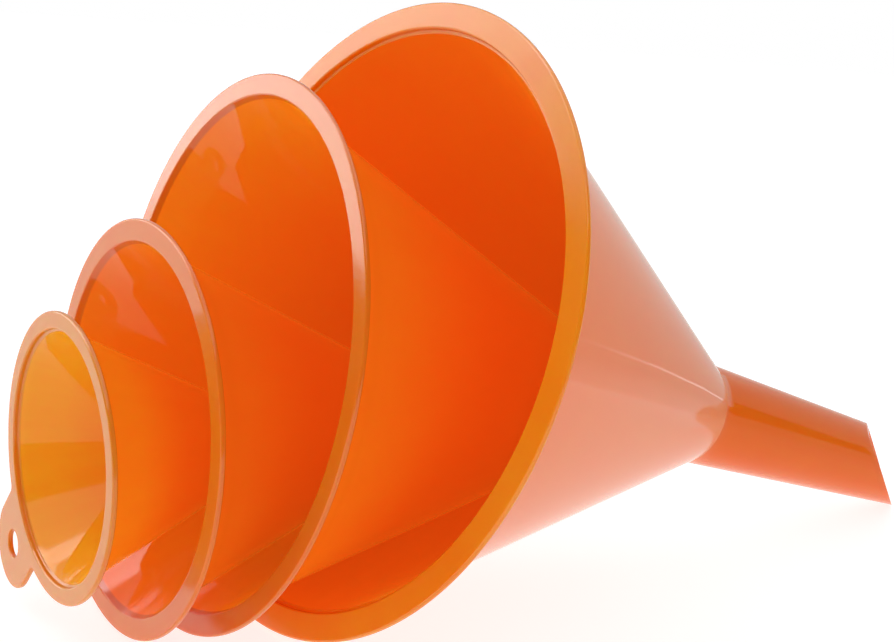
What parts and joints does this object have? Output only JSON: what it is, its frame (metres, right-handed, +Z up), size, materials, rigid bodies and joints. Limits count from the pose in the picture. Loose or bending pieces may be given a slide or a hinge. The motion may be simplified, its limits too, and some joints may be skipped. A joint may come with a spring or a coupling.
{
  "type": "nesting funnel set",
  "caption": "Nested set of one-piece plastic funnels lying on their side: flat rim with hanging tab, smooth cone, tapered spout with oblique tip.",
  "frame": {"origin": "on the supporting surface, under the middle of the nest's bounding box", "axes": "+X from the mouths towards the largest funnel's spout tip, +Z up"},
  "size_m": [0.2285, 0.12, 0.1155],
  "materials": {
    "plastic_large": "glossy moulded polypropylene, slightly translucent, fine circular scuffs on the rim face",
    "plastic_medium": "glossy moulded polypropylene, slightly translucent, fine circular scuffs on the rim face",
    "plastic_small": "glossy moulded polypropylene, slightly translucent, fine circular scuffs on the rim face",
    "plastic_mini": "glossy moulded polypropylene, slightly translucent, fine circular scuffs on the rim face"
  },
  "bodies": {
    "funnel_large": {"funnel_large": "plastic_large"},
    "funnel_medium": {"funnel_medium": "plastic_medium"},
    "funnel_small": {"funnel_small": "plastic_small"},
    "funnel_mini": {"funnel_mini": "plastic_mini"}
  },
  "joints": [
    {"name": "lift_out_medium", "type": "slide", "parent": "funnel_large", "child": "funnel_medium", "axis": [-0.9831, 0.0808, 0.164], "range_m": [0, 0.125]},
    {"name": "lift_out_small", "type": "slide", "parent": "funnel_medium", "child": "funnel_small", "axis": [-0.9976, 0.0565, 0.0396], "range_m": [0, 0.115]},
    {"name": "lift_out_mini", "type": "slide", "parent": "funnel_small", "child": "funnel_mini", "axis": [-0.9989, 0.0473, 0.0052], "range_m": [0, 0.085]}
  ]
}
